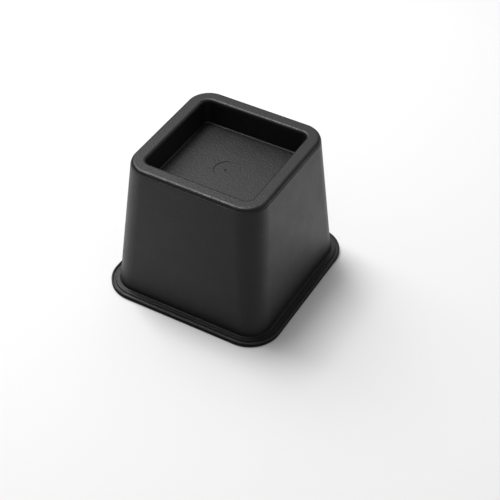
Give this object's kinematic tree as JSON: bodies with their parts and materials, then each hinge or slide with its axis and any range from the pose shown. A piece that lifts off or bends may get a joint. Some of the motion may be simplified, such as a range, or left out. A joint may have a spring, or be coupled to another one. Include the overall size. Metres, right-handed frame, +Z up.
{
  "type": "bed riser",
  "caption": "Square moulded plastic furniture riser with tapered walls, a floor flange, a square pocket on top for the leg and a ribbed open underside.",
  "frame": {"origin": "middle of the base, on the ground", "axes": "+Z up through the middle of the pocket; +X and +Y square to the four walls, which are alike"},
  "size_m": [0.12, 0.12, 0.097],
  "materials": {
    "black_plastic": "black, fine spark-eroded grain"
  },
  "bodies": {
    "root": {"riser": "black_plastic"}
  },
  "joints": []
}
